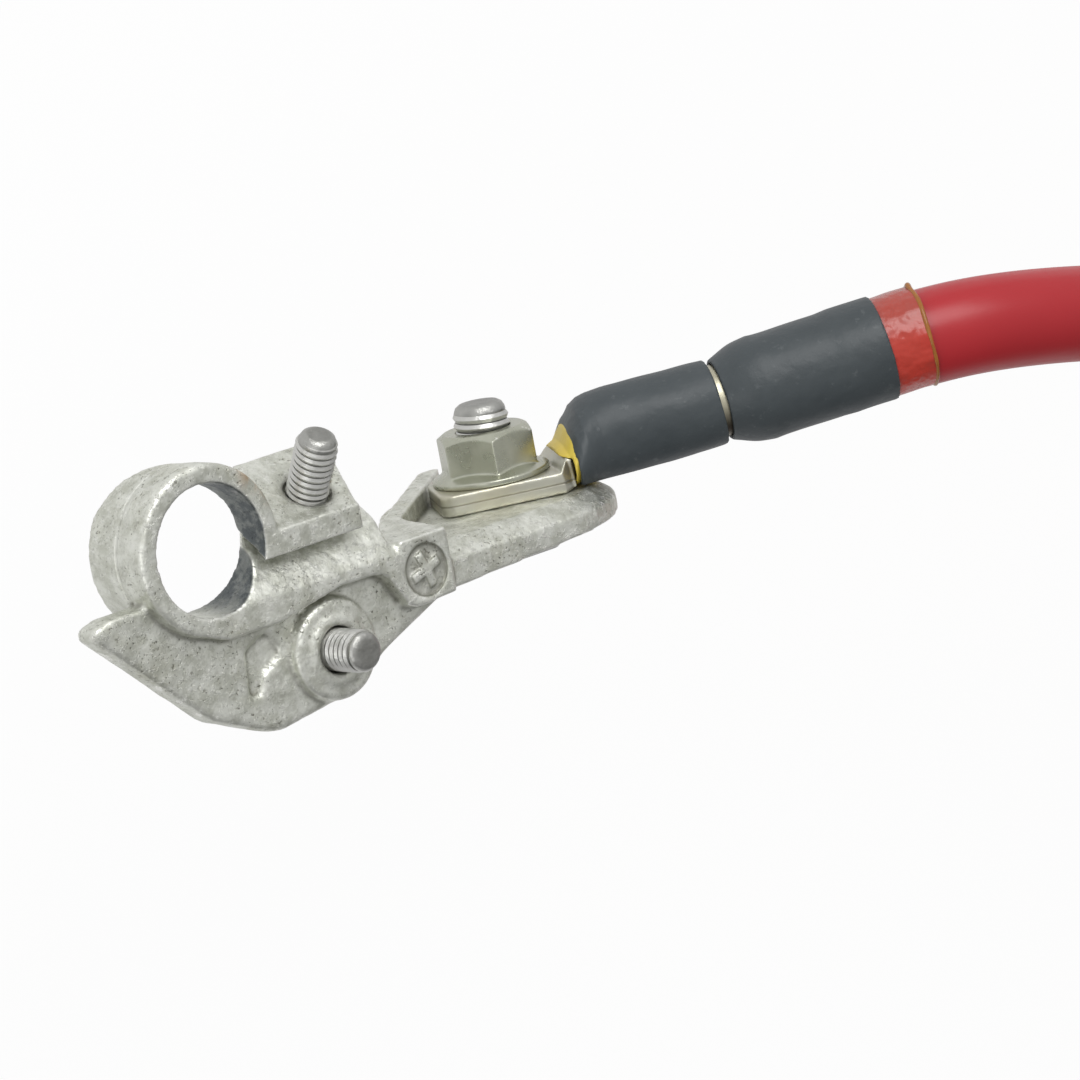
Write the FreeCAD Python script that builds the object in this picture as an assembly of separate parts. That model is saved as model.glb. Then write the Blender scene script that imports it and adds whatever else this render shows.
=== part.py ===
import FreeCAD, Part
import math
import os

# A cast clamp for a battery post, with its studs and a short crimped cable.
# Millimetres. +Z runs up the post bore, +X from the bore towards the cable.
# The origin is on the bore axis, in the ring's lower face.

# Ring that grips the post
RING_HEIGHT = 12.6
BORE_RADIUS = 9.2
RING_WALL = 2.8
BAND_HEIGHT = 4.6
BAND_STEP = 0.25
RIM_ROUND = 0.7

# Split and its two jaws, tilted so that the nut is reached from above
JAW_TILT = 32.0
SLOT_WIDTH = 1.4
EAR_FACE_HEIGHT = 3.6
EAR_TOP_Y = -0.3
EAR_END_FRONT_X = 26.4
EAR_END_BACK_X = 31.4
JAW_END_X = 30.7
JAW_THICKNESS = 6.6
JAW_FACE_FALL = 0.6
BACK_HEIGHT_AT_AXIS = 3.25
BACK_SLOPE = 0.354
BACK_RELIEF_X = 15.6

# Rib that runs from the ring to the polarity boss
RIB_TOP_Y = -8.9
RIB_WIDTH = 4.0

# Flange with the pointed end
FLANGE_SET_BACK = 2.5
FLANGE_THICKNESS = 4.0
FLANGE_ROUND = 0.9

# Polarity boss and neck
BOSS_LEFT_X = 31.8
BOSS_RIGHT_X = 40.4
BOSS_TOP_Y = -7.4
BOSS_LOW_Y = -17.2
MARK_X = 35.7
MARK_Y = -12.4
MARK_RADIUS = 3.9
MARK_DEPTH = 0.5
CROSS_LENGTH = 5.0
CROSS_WIDTH = 1.2

# Plate that the cable lug is bolted to
PLATE_TOP_Y = -10.2
PLATE_RADIUS = 17.0
PLATE_CENTRE_X = 64.0
PLATE_CENTRE_DEPTH = 18.0
PLATE_NECK_THICKNESS = 6.4
PLATE_END_THICKNESS = 4.4
PLATE_BEVEL_DROP = 2.2
PLATE_BEVEL_WIDTH = 3.0
FENCE_THICKNESS = 2.8
FENCE_RISE = 3.2
FENCE_START_X = 40.4
FENCE_START_DEPTH = 14.5
FENCE_END_X = 68.0

# Studs, bolts and nut
STUD_RADIUS = 3.0
STUD_HOLE_CLEARANCE = 0.35
STUD_CHAMFER = 0.6
STUD_NECK_RADIUS = 2.7
STUD_NECK_SHOWN = 0.3
CLAMP_STUD_X = 21.8
CLAMP_STUD_DEPTH = 5.1
CLAMP_STUD_REACH = 9.2
CLAMP_SPOT_RADIUS = 4.5
CLAMP_SPOT_DEPTH = 0.4
CLAMP_HEAD_WIDTH = 9.6
CLAMP_HEAD_HEIGHT = 3.0
SIDE_STUD_X = 18.5
SIDE_STUD_Y = -19.2
SIDE_STUD_REACH = 6.0
SIDE_PAD_RADIUS = 7.2
SIDE_PAD_HEIGHT = 1.8
SIDE_SEAT_RADIUS = 4.9
SIDE_SEAT_HEIGHT = 0.5
SIDE_HEAD_WIDTH = 10.0
SIDE_HEAD_HEIGHT = 3.2
BOLT_RADIUS = 4.0
BOLT_HOLE_CLEARANCE = 0.25
BOLT_REACH = 4.0
BOLT_CHAMFER = 0.9
BOLT_HEAD_WIDTH = 13.0
BOLT_HEAD_HEIGHT = 2.8
NUT_WIDTH = 12.8
NUT_HEIGHT = 7.2
NUT_FLANGE_RADIUS = 8.5
NUT_FLANGE_EDGE = 0.8
NUT_FLANGE_HEIGHT = 1.8
NUT_CHAMFER = 1.0

# Cable lug at the clamp, turned about its bolt and bent up a little
LUG_TURN = 29.5
LUG_RISE = 5.7
LUG_THICKNESS = 3.2
LUG_WIDTH = 17.0
LUG_NOSE = 9.0
LUG_FRONT_CORNER = 2.0
LUG_BACK_CORNER = 6.0
LUG_NECK = 9.4
LUG_TAPER = 9.6
BARREL_WALL = 1.1
BARREL_LENGTH = 22.0
BARREL_LIFT = 3.6
CONDUCTOR_RADIUS = 4.2
BARE_CONDUCTOR = 18.0

# Sleeves over the crimp
LINER_WALL = 0.35
LINER_START = 9.0
LINER_LENGTH = 6.0
SLEEVE_WALL = 0.6
SLEEVE_START = 10.6
SLEEVE_LENGTH = 23.4
SLEEVE_GAP = 0.8
REAR_SLEEVE_LENGTH = 24.8
SEAL_SHOWN = 6.2
SEAL_WALL = 0.35

# Cable and its far end
CABLE_RADIUS = 7.0
FIRST_RUN = 35.0
NEXT_RUN = 34.0
FAR_SLEEVE_LENGTH = 34.0
FAR_SLEEVE_WALL = 0.8
FAR_BARREL_LENGTH = 20.0
FAR_TONGUE_LENGTH = 24.0
FAR_TONGUE_WIDTH = 17.0
FAR_HOLE_RADIUS = 4.25
FAR_TAPER = 8.0

RING_RADIUS = BORE_RADIUS + RING_WALL
SLOPE = math.tan(math.radians(JAW_TILT))
TILT_COS = math.cos(math.radians(JAW_TILT))
TILT_SIN = math.sin(math.radians(JAW_TILT))
EAR_LOW_Y = EAR_TOP_Y - EAR_FACE_HEIGHT
JAW_TOP_Y = EAR_LOW_Y - SLOT_WIDTH / TILT_COS
RIB_LOW_Y = RIB_TOP_Y - RIB_WIDTH
MEET_Y = (JAW_TOP_Y - SLOPE * JAW_FACE_FALL * RIB_TOP_Y) / (1 - SLOPE * JAW_FACE_FALL)
MEET_Z = RING_HEIGHT - JAW_FACE_FALL * (MEET_Y - RIB_TOP_Y)
FLANGE_FRONT_Z = RING_HEIGHT - FLANGE_SET_BACK
FLANGE_BACK_Z = FLANGE_FRONT_Z - FLANGE_THICKNESS
PLATE_Z = RING_HEIGHT - PLATE_CENTRE_DEPTH
PLATE_FRONT_Z = PLATE_Z + PLATE_RADIUS
PLATE_BACK_Z = PLATE_Z - PLATE_RADIUS
PLATE_END_X = PLATE_CENTRE_X + PLATE_RADIUS
BARREL_RADIUS = CONDUCTOR_RADIUS + BARREL_WALL
LUG_TOP_Y = PLATE_TOP_Y + LUG_THICKNESS
FENCE_TOP_Y = PLATE_TOP_Y + FENCE_RISE
BARREL_START = LUG_NECK + LUG_TAPER
BARREL_END = BARREL_START + BARREL_LENGTH
REAR_SLEEVE_START = SLEEVE_START + SLEEVE_LENGTH + SLEEVE_GAP
REAR_SLEEVE_END = REAR_SLEEVE_START + REAR_SLEEVE_LENGTH
CLAMP_AXIS = FreeCAD.Vector(0, TILT_COS, TILT_SIN)
REACH = 60.0
MERGE = 0.4


def vec(x, y, z):
    return FreeCAD.Vector(x, y, z)


def in_xy(u, v, w):
    return vec(u, v, w)


def in_xz(u, v, w):
    return vec(u, w, v)


def in_yz(u, v, w):
    return vec(w, u, v)


def outline(corners, plane, level):
    """A closed wire through corners given as (u, v, radius), each corner rounded by its radius."""
    points = [vec(c[0], c[1], 0) for c in corners]
    parts = []
    for i, here in enumerate(points):
        back = (points[i - 1] - here).normalize()
        ahead = (points[(i + 1) % len(points)] - here).normalize()
        half = back.getAngle(ahead) / 2
        radius = corners[i][2]
        reach = radius / math.tan(half)
        middle = here + (back + ahead).normalize() * (radius / math.sin(half) - radius)
        parts.append((here + back * reach, middle, here + ahead * reach, radius))
    edges = []
    for i, (start, middle, end, radius) in enumerate(parts):
        following = parts[(i + 1) % len(parts)][0]
        if radius > 0:
            three = [plane(p.x, p.y, level) for p in (start, middle, end)]
            edges.append(Part.Arc(*three).toShape())
        if (following - end).Length > 1e-6:
            run = Part.LineSegment(plane(end.x, end.y, level), plane(following.x, following.y, level))
            edges.append(run.toShape())
    return Part.Wire(edges)


def prism(corners, plane, low, high):
    """The outline carried from one level to another along the plane's normal."""
    face = Part.Face(outline(corners, plane, low))
    return face.extrude(plane(0, 0, high - low))


def slanted(y_front, z):
    """Height in Y, at z, of a jaw face that meets the ring's upper face at y_front."""
    return y_front + (RING_HEIGHT - z) * SLOPE


def hexagon(width, centre, axis, across, height):
    """A hexagonal prism of that width across its flats, from centre along axis."""
    side = width / math.sqrt(3)
    up = axis.cross(across).normalize()
    ring = []
    for i in range(7):
        angle = math.radians(60 * i)
        ring.append(centre + across * (side * math.cos(angle)) + up * (side * math.sin(angle)))
    return Part.Face(Part.makePolygon(ring)).extrude(axis * height)


def chamfered_rod(radius, start, axis, length, chamfer):
    """A rod from start along axis, chamfered at its far end."""
    rod = Part.makeCylinder(radius, length - chamfer, start, axis)
    tip = Part.makeCone(radius, radius - chamfer, chamfer, start + axis * (length - chamfer), axis)
    return rod.fuse(tip).removeSplitter()


def necked_stud(neck, thread):
    """An upright stud from the origin: thinner neck, then the thread's outer size, chamfered at its end."""
    shank = Part.makeCylinder(STUD_NECK_RADIUS, neck + MERGE)
    threaded = chamfered_rod(STUD_RADIUS, vec(0, 0, neck), vec(0, 0, 1), thread, STUD_CHAMFER)
    return shank.fuse(threaded).removeSplitter()


def ellipse_wire(x, y, z, half_y, half_z):
    """An ellipse across X, wider along whichever half is the larger."""
    if abs(half_y - half_z) < 1e-6:
        return Part.Wire(Part.makeCircle(half_y, vec(x, y, z), vec(1, 0, 0)))
    if half_z > half_y:
        curve = Part.Ellipse(vec(x, y, z + half_z), vec(x, y + half_y, z), vec(x, y, z))
    else:
        curve = Part.Ellipse(vec(x, y + half_y, z), vec(x, y, z + half_z), vec(x, y, z))
    return Part.Wire(curve.toShape())


# Clamp casting


def ring_blank():
    """Outer form of the ring, with the upper band a little proud and a rounded rim."""
    band = Part.makeCylinder(RING_RADIUS, BAND_HEIGHT, vec(0, 0, RING_HEIGHT - BAND_HEIGHT))
    rim = [e for e in band.Edges if abs(e.CenterOfMass.z - RING_HEIGHT) < 1e-6]
    band = band.makeFillet(RIM_ROUND, rim)
    skirt = Part.makeCylinder(RING_RADIUS - BAND_STEP, RING_HEIGHT - BAND_HEIGHT + MERGE)
    return band.fuse(skirt)


def ear():
    """Upper jaw: a slab square to the clamp stud, with its end cut aslant."""
    section = [
        (EAR_TOP_Y, RING_HEIGHT, 0),
        (slanted(EAR_TOP_Y, 0), 0, 0),
        (slanted(EAR_LOW_Y, 0), 0, 0),
        (EAR_LOW_Y, RING_HEIGHT, 0),
    ]
    slab = prism(section, in_yz, 0, EAR_END_BACK_X + 1)
    plan = [
        (0, RING_HEIGHT + 1, 0),
        (EAR_END_FRONT_X, RING_HEIGHT + 1, 0),
        (EAR_END_FRONT_X, RING_HEIGHT - 1, 0.6),
        (EAR_END_BACK_X, 0, 1.2),
        (EAR_END_BACK_X - 1, -1, 0),
        (0, -1, 0),
    ]
    return slab.common(prism(plan, in_xz, -REACH / 2, REACH / 2))


def lower_jaw():
    """Lower jaw: the slot's other face, the rib's face in front and the seat of the stud's head behind."""
    seat_y = JAW_TOP_Y - JAW_THICKNESS / TILT_COS
    seat_front_y = seat_y + (RING_HEIGHT - FLANGE_BACK_Z) * SLOPE
    section = [
        (RIB_TOP_Y, RING_HEIGHT, 0),
        (MEET_Y, MEET_Z, 0),
        (slanted(JAW_TOP_Y, 0), 0, 0),
        (slanted(seat_y, 0), 0, 0),
        (seat_front_y, FLANGE_BACK_Z, 0),
        (RIB_LOW_Y, FLANGE_BACK_Z, 0),
        (RIB_LOW_Y + 1.6, RING_HEIGHT - FLANGE_SET_BACK, 0),
    ]
    return prism(section, in_yz, 0, JAW_END_X)


def jaw_face_cut():
    """Room above the lower jaw's face, which falls away from the rib towards the split."""
    section = [
        (RIB_TOP_Y, RING_HEIGHT, 0),
        (RIB_TOP_Y, RING_HEIGHT + 1, 0),
        (EAR_LOW_Y, RING_HEIGHT + 1, 0),
        (EAR_LOW_Y, RING_HEIGHT, 0),
        (slanted(EAR_LOW_Y, MEET_Z), MEET_Z, 0),
        (MEET_Y, MEET_Z, 0),
    ]
    return prism(section, in_yz, BORE_RADIUS * 0.3, BOSS_LEFT_X)


def back_cut():
    """Room behind the ring, which gets lower towards the jaws, and behind the jaws' roots."""
    left = -RING_RADIUS * 2
    corner_x = BORE_RADIUS
    corner_z = BACK_HEIGHT_AT_AXIS + BACK_SLOPE * corner_x
    corners = [
        (left, BACK_HEIGHT_AT_AXIS + BACK_SLOPE * left, 0),
        (corner_x, corner_z, 0),
        (BACK_RELIEF_X, -0.6, 0),
        (BACK_RELIEF_X, -REACH / 4, 0),
        (left, -REACH / 4, 0),
    ]
    return prism(corners, in_xz, -RING_RADIUS - 1, RING_RADIUS * 2)


def slot():
    """The split through the ring's wall, between the two jaws."""
    section = [
        (slanted(EAR_LOW_Y, RING_HEIGHT + 1), RING_HEIGHT + 1, 0),
        (slanted(EAR_LOW_Y, -1), -1, 0),
        (slanted(JAW_TOP_Y, -1), -1, 0),
        (slanted(JAW_TOP_Y, RING_HEIGHT + 1), RING_HEIGHT + 1, 0),
    ]
    return prism(section, in_yz, 0, EAR_END_BACK_X + 2)


def rib():
    """Raised front band from the ring's rim to the polarity boss."""
    corners = [
        (-3.0, RIB_TOP_Y, 0),
        (BOSS_LEFT_X, RIB_TOP_Y, 0),
        (BOSS_LEFT_X, BOSS_TOP_Y, 0),
        (BOSS_RIGHT_X, BOSS_TOP_Y, 0.8),
        (BOSS_RIGHT_X, BOSS_LOW_Y + 0.4, 0),
        (BOSS_LEFT_X + 0.4, BOSS_LOW_Y, 2.4),
        (BOSS_LEFT_X - 3.4, RIB_LOW_Y + 2.0, 3.2),
        (SIDE_STUD_X + 2.0, RIB_LOW_Y + 2.2, 3.0),
        (9.0, RIB_LOW_Y, 6.0),
        (0.5, RIB_LOW_Y, 4.0),
        (-6.0, -10.4, 0),
    ]
    return prism(corners, in_xy, FLANGE_BACK_Z, RING_HEIGHT)


def flange():
    """Flat web below the ring, pointed at the left, with its front edge rounded."""
    corners = [
        (-21.4, -6.3, 1.2),
        (-17.0, -5.2, 0),
        (-6.0, -5.2, 0),
        (-2.0, RIB_TOP_Y, 0),
        (BOSS_RIGHT_X - 0.4, RIB_TOP_Y, 0),
        (BOSS_RIGHT_X - 0.4, BOSS_LOW_Y, 0),
        (27.6, -22.4, 4.0),
        (22.4, -26.0, 4.0),
        (7.2, -28.2, 9.0),
        (-3.4, -23.6, 8.0),
    ]
    web = prism(corners, in_xy, FLANGE_BACK_Z, FLANGE_FRONT_Z)
    outer = []
    for edge in web.Edges:
        middle = edge.CenterOfMass
        if abs(middle.z - FLANGE_FRONT_Z) < 1e-6 and middle.y < BOSS_LOW_Y:
            outer.append(edge)
    return web.makeFillet(FLANGE_ROUND, outer)


def side_pad():
    """Pad and seat round the side stud, standing up from the flange."""
    centre = vec(SIDE_STUD_X, SIDE_STUD_Y, FLANGE_BACK_Z)
    pad_height = FLANGE_THICKNESS + SIDE_PAD_HEIGHT
    pad = Part.makeCylinder(SIDE_PAD_RADIUS, pad_height, centre)
    edge = [e for e in pad.Edges if abs(e.CenterOfMass.z - FLANGE_BACK_Z - pad_height) < 1e-6]
    pad = pad.makeFillet(0.8, edge)
    seat = Part.makeCylinder(SIDE_SEAT_RADIUS, pad_height + SIDE_SEAT_HEIGHT, centre)
    edge = [e for e in seat.Edges if abs(e.CenterOfMass.z - centre.z - pad_height - SIDE_SEAT_HEIGHT) < 1e-6]
    return pad.fuse(seat.makeFillet(0.4, edge))


def neck():
    """Block behind the polarity boss that carries the plate."""
    back_z = RING_HEIGHT - FENCE_START_DEPTH
    plan = [
        (BOSS_LEFT_X - 0.4, RING_HEIGHT, 0),
        (BOSS_RIGHT_X, RING_HEIGHT, 0.8),
        (BOSS_RIGHT_X + 2.4, back_z + 2.0, 0),
        (BOSS_RIGHT_X, back_z, 0),
        (BOSS_LEFT_X - 0.4, back_z + 9.0, 0),
    ]
    return prism(plan, in_xz, BOSS_LOW_Y + 0.6, BOSS_TOP_Y)


def plate_plan(low, high):
    """The plate's outline, round about the bolt, as a block from one height to another."""
    corners = [
        (BOSS_LEFT_X, PLATE_FRONT_Z, 0),
        (PLATE_CENTRE_X, PLATE_FRONT_Z, 0),
        (PLATE_CENTRE_X, PLATE_BACK_Z, 0),
        (FENCE_START_X, RING_HEIGHT - FENCE_START_DEPTH, 4.0),
        (BOSS_LEFT_X, RING_HEIGHT - FENCE_START_DEPTH + 1.0, 0),
    ]
    block = prism(corners, in_xz, low, high)
    disc = Part.makeCylinder(PLATE_RADIUS, high - low, vec(PLATE_CENTRE_X, low, PLATE_Z), vec(0, 1, 0))
    return block.fuse(disc)


def plate():
    """Plate under the lug: straight in front, round at its end, bevelled on top, thinner at the end."""
    neck_low_y = PLATE_TOP_Y - PLATE_NECK_THICKNESS
    full = plate_plan(neck_low_y - 1, PLATE_TOP_Y)
    edge_y = PLATE_TOP_Y - PLATE_BEVEL_DROP
    wide = PLATE_RADIUS + 4
    lift = PLATE_BEVEL_DROP * 4 / PLATE_BEVEL_WIDTH
    cone = Part.makeCone(
        wide,
        PLATE_RADIUS - PLATE_BEVEL_WIDTH,
        PLATE_BEVEL_DROP + lift,
        vec(PLATE_CENTRE_X, edge_y - lift, PLATE_Z),
        vec(0, 1, 0),
    )
    below_edge = vec(PLATE_CENTRE_X, edge_y - lift, PLATE_Z)
    around = Part.makeCylinder(wide, PLATE_BEVEL_DROP + lift, below_edge, vec(0, 1, 0))
    end_half = Part.makeBox(REACH, REACH, REACH * 2, vec(PLATE_CENTRE_X, -REACH / 2, -REACH))
    full = full.cut(around.cut(cone).common(end_half))
    front = [
        (edge_y, PLATE_FRONT_Z, 0),
        (edge_y, PLATE_FRONT_Z + 1, 0),
        (PLATE_TOP_Y + 1, PLATE_FRONT_Z + 1, 0),
        (PLATE_TOP_Y + 1, PLATE_FRONT_Z - PLATE_BEVEL_WIDTH, 0),
        (PLATE_TOP_Y, PLATE_FRONT_Z - PLATE_BEVEL_WIDTH, 0),
    ]
    full = full.cut(prism(front, in_yz, BOSS_RIGHT_X, PLATE_CENTRE_X))
    end_low_y = PLATE_TOP_Y - PLATE_END_THICKNESS
    under = [
        (BOSS_RIGHT_X, neck_low_y, 0),
        (PLATE_END_X + 1, end_low_y, 0),
        (PLATE_END_X + 1, neck_low_y - 2, 0),
        (BOSS_LEFT_X - 1, neck_low_y - 2, 0),
        (BOSS_LEFT_X - 1, neck_low_y, 0),
    ]
    return full.cut(prism(under, in_xy, PLATE_BACK_Z - 1, PLATE_FRONT_Z + 1))


def fence():
    """Low wall along the slanted back of the plate, which keeps the lug from turning."""
    start = vec(FENCE_START_X, RING_HEIGHT - FENCE_START_DEPTH, 0)
    bend = vec(PLATE_CENTRE_X, PLATE_BACK_Z, 0)
    along = (bend - start).normalize()
    across = vec(-along.y, along.x, 0) * FENCE_THICKNESS
    inner = start + across
    outer_end = start + along * ((FENCE_END_X - start.x) / along.x)
    inner_end = outer_end + across
    plan = [
        (start.x - 1.5, start.y + 1.0, 0),
        (outer_end.x, outer_end.y, 0),
        (inner_end.x, inner_end.y, 0),
        (inner.x, inner.y, 3.0),
        (BOSS_RIGHT_X - 1.0, RING_HEIGHT - 8.0, 0),
        (BOSS_RIGHT_X - 2.0, RING_HEIGHT - 8.0, 0),
    ]
    wall = prism(plan, in_xz, PLATE_TOP_Y - 1.0, FENCE_TOP_Y)
    return wall.common(plate_plan(PLATE_TOP_Y - 2.0, FENCE_TOP_Y + 1.0))


def polarity_mark():
    """Sunk disc with a raised cross, the sign of the positive pole."""
    floor_z = RING_HEIGHT - MARK_DEPTH
    disc = Part.makeCylinder(MARK_RADIUS, MARK_DEPTH + 1, vec(MARK_X, MARK_Y, floor_z))
    bars = None
    for angle in (20.0, 110.0):
        bar = Part.makeBox(CROSS_LENGTH, CROSS_WIDTH, MARK_DEPTH, vec(-CROSS_LENGTH / 2, -CROSS_WIDTH / 2, 0))
        bar.rotate(vec(0, 0, 0), vec(0, 0, 1), angle)
        bar.translate(vec(MARK_X, MARK_Y, floor_z))
        bars = bar if bars is None else bars.fuse(bar)
    return disc.cut(bars)


def flange_pocket():
    """Shallow kidney-shaped hollow left of the side pad."""
    corners = [
        (8.4, -13.6, 1.2),
        (4.0, -15.6, 1.6),
        (3.6, -22.2, 0.5),
        (5.4, -22.4, 0.5),
        (6.6, -19.6, 0.8),
        (10.6, -17.4, 1.2),
    ]
    return prism(corners, in_xy, FLANGE_FRONT_Z - 0.8, FLANGE_FRONT_Z + 1)


def clamp_stud_base():
    """Point on the ear's upper face where the clamp stud comes out."""
    z = RING_HEIGHT - CLAMP_STUD_DEPTH
    return vec(CLAMP_STUD_X, slanted(EAR_TOP_Y, z), z)


def clamp_head_top():
    """Distance down the clamp stud from the ear's face to the top of its head."""
    return (EAR_FACE_HEIGHT * TILT_COS) + SLOT_WIDTH + JAW_THICKNESS


def clamp_body():
    body = ring_blank()
    for piece in (ear(), lower_jaw(), rib(), flange(), side_pad(), neck(), plate(), fence()):
        body = body.fuse(piece)
    post = Part.makeCylinder(BORE_RADIUS, RING_HEIGHT + 40, vec(0, 0, -20))
    base = clamp_stud_base()
    hole = STUD_RADIUS + STUD_HOLE_CLEARANCE
    clamp_hole = Part.makeCylinder(hole, REACH, base - CLAMP_AXIS * (REACH / 2), CLAMP_AXIS)
    spot = Part.makeCylinder(CLAMP_SPOT_RADIUS, REACH / 6, base - CLAMP_AXIS * CLAMP_SPOT_DEPTH, CLAMP_AXIS)
    side_hole = Part.makeCylinder(hole, REACH, vec(SIDE_STUD_X, SIDE_STUD_Y, -REACH / 3))
    bolt_hole = Part.makeCylinder(
        BOLT_RADIUS + BOLT_HOLE_CLEARANCE,
        REACH / 2,
        vec(PLATE_CENTRE_X, PLATE_TOP_Y + 1, PLATE_Z),
        vec(0, -1, 0),
    )
    faces = (slot(), jaw_face_cut(), back_cut(), polarity_mark(), flange_pocket())
    holes = (post, clamp_hole, spot, side_hole, bolt_hole)
    for tool in faces[:3] + holes + faces[3:]:
        body = body.cut(tool)
    head_room = prism(
        [
            (-CLAMP_HEAD_WIDTH / 2 - 0.3, -CLAMP_HEAD_WIDTH / 2 - 0.3, 0),
            (CLAMP_HEAD_WIDTH / 2 + 0.3, -CLAMP_HEAD_WIDTH / 2 - 0.3, 0),
            (CLAMP_HEAD_WIDTH / 2 + 0.3, CLAMP_HEAD_WIDTH / 2 + 0.3, 0),
            (-CLAMP_HEAD_WIDTH / 2 - 0.3, CLAMP_HEAD_WIDTH / 2 + 0.3, 0),
        ],
        in_xy,
        -REACH / 4,
        0,
    )
    body = body.cut(along_clamp_stud(head_room, clamp_head_top()))
    return body.removeSplitter()


def along_clamp_stud(shape, depth):
    """Puts a shape, drawn about the origin with +Z up the stud, at that depth below the ear's face."""
    placed = shape.copy()
    placed.rotate(vec(0, 0, 0), vec(1, 0, 0), JAW_TILT - 90.0)
    placed.translate(clamp_stud_base() - CLAMP_AXIS * depth)
    return placed


# Studs, bolt and nut


def square_head(width, height, round_off):
    half = width / 2
    corners = [
        (-half, -half, round_off),
        (half, -half, round_off),
        (half, half, round_off),
        (-half, half, round_off),
    ]
    return prism(corners, in_xy, -height, 0)


def clamp_stud():
    """Stud with a square head under the lower jaw; its nut is off."""
    depth = clamp_head_top()
    shank = necked_stud(depth + STUD_NECK_SHOWN, CLAMP_STUD_REACH - STUD_NECK_SHOWN)
    head = square_head(CLAMP_HEAD_WIDTH, CLAMP_HEAD_HEIGHT, 1.0)
    return along_clamp_stud(shank.fuse(head).removeSplitter(), depth)


def side_stud():
    """Stud through the flange for a second wire; its head is behind."""
    base = vec(SIDE_STUD_X, SIDE_STUD_Y, FLANGE_BACK_Z)
    seat = FLANGE_THICKNESS + SIDE_PAD_HEIGHT + SIDE_SEAT_HEIGHT
    shank = necked_stud(seat + STUD_NECK_SHOWN, SIDE_STUD_REACH - STUD_NECK_SHOWN)
    shank.translate(base)
    head = hexagon(SIDE_HEAD_WIDTH, base, vec(0, 0, -1), vec(1, 0, 0), SIDE_HEAD_HEIGHT)
    return shank.fuse(head).removeSplitter()


def lug_bolt():
    """Bolt with a thin square head under the plate."""
    top_y = LUG_TOP_Y + NUT_HEIGHT + BOLT_REACH
    low_y = plate_low_y(PLATE_CENTRE_X - BOLT_HEAD_WIDTH / 2)
    shank = chamfered_rod(BOLT_RADIUS, vec(0, 0, 0), vec(0, 0, 1), top_y - low_y, BOLT_CHAMFER)
    bolt = shank.fuse(square_head(BOLT_HEAD_WIDTH, BOLT_HEAD_HEIGHT, 2.0)).removeSplitter()
    bolt.rotate(vec(0, 0, 0), vec(1, 0, 0), -90.0)
    bolt.translate(vec(PLATE_CENTRE_X, low_y, PLATE_Z))
    return bolt


def plate_low_y(x):
    """Height in Y of the plate's underside at x."""
    share = (x - BOSS_RIGHT_X) / (PLATE_END_X + 1 - BOSS_RIGHT_X)
    return PLATE_TOP_Y - PLATE_NECK_THICKNESS + share * (PLATE_NECK_THICKNESS - PLATE_END_THICKNESS)


def flange_nut():
    """Hexagon nut with a wide flange, chamfered on top."""
    foot = vec(PLATE_CENTRE_X, LUG_TOP_Y, PLATE_Z)
    up = vec(0, 1, 0)
    body = hexagon(NUT_WIDTH, foot, up, vec(1, 0, 0), NUT_HEIGHT)
    corner = NUT_WIDTH / math.sqrt(3)
    dome = Part.makeCylinder(corner + 1, NUT_HEIGHT - NUT_CHAMFER, foot, up)
    cap_foot = foot + up * (NUT_HEIGHT - NUT_CHAMFER)
    cap = Part.makeCone(corner, corner - NUT_CHAMFER * 1.6, NUT_CHAMFER, cap_foot, up)
    body = body.common(dome.fuse(cap))
    flare = Part.makeCylinder(NUT_FLANGE_RADIUS, NUT_FLANGE_EDGE, foot, up)
    cone = Part.makeCone(
        NUT_FLANGE_RADIUS, NUT_WIDTH / 2, NUT_FLANGE_HEIGHT - NUT_FLANGE_EDGE, foot + up * NUT_FLANGE_EDGE, up
    )
    nut = body.fuse(flare).fuse(cone)
    return nut.cut(Part.makeCylinder(BOLT_RADIUS, NUT_HEIGHT + 2, foot - up, up)).removeSplitter()


# Cable lug and sleeves, drawn from the bolt's axis along +X, then turned into place


def along_lug(shape):
    """Turns a shape about the lug's bolt and puts it on the bolt's axis."""
    placed = shape.copy()
    placed.rotate(vec(0, 0, 0), vec(0, 1, 0), -LUG_TURN)
    placed.translate(vec(PLATE_CENTRE_X, 0, PLATE_Z))
    return placed


def along_crimp(shape):
    """Bends a shape, drawn about the barrel's axis, up with the barrel and puts it in place."""
    placed = shape.copy()
    placed.rotate(vec(0, 0, 0), vec(0, 0, 1), LUG_RISE)
    placed.translate(vec(0, PLATE_TOP_Y + BARREL_LIFT, 0))
    return along_lug(placed)


def crimp_form(grow):
    """Outer form of the crimp about the barrel's axis, larger by grow all round."""
    tongue_y = LUG_THICKNESS / 2 - BARREL_LIFT - LUG_NECK * math.tan(math.radians(LUG_RISE))
    stations = []
    for share in (0.0, 0.35, 0.7, 1.0):
        ease = share * share * (3 - 2 * share)
        x = LUG_NECK + share * LUG_TAPER
        y = tongue_y * (1 - ease)
        half_y = LUG_THICKNESS / 2 + ease * (BARREL_RADIUS - LUG_THICKNESS / 2) + grow
        half_z = LUG_WIDTH / 2 - 0.5 + ease * (BARREL_RADIUS - LUG_WIDTH / 2 + 0.5) + grow
        stations.append(ellipse_wire(x, y, 0, half_y, half_z))
    taper = Part.makeLoft(stations, True, True)
    barrel = Part.makeCylinder(BARREL_RADIUS + grow, BARREL_LENGTH, vec(BARREL_START, 0, 0), vec(1, 0, 0))
    return taper.fuse(barrel)


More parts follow.
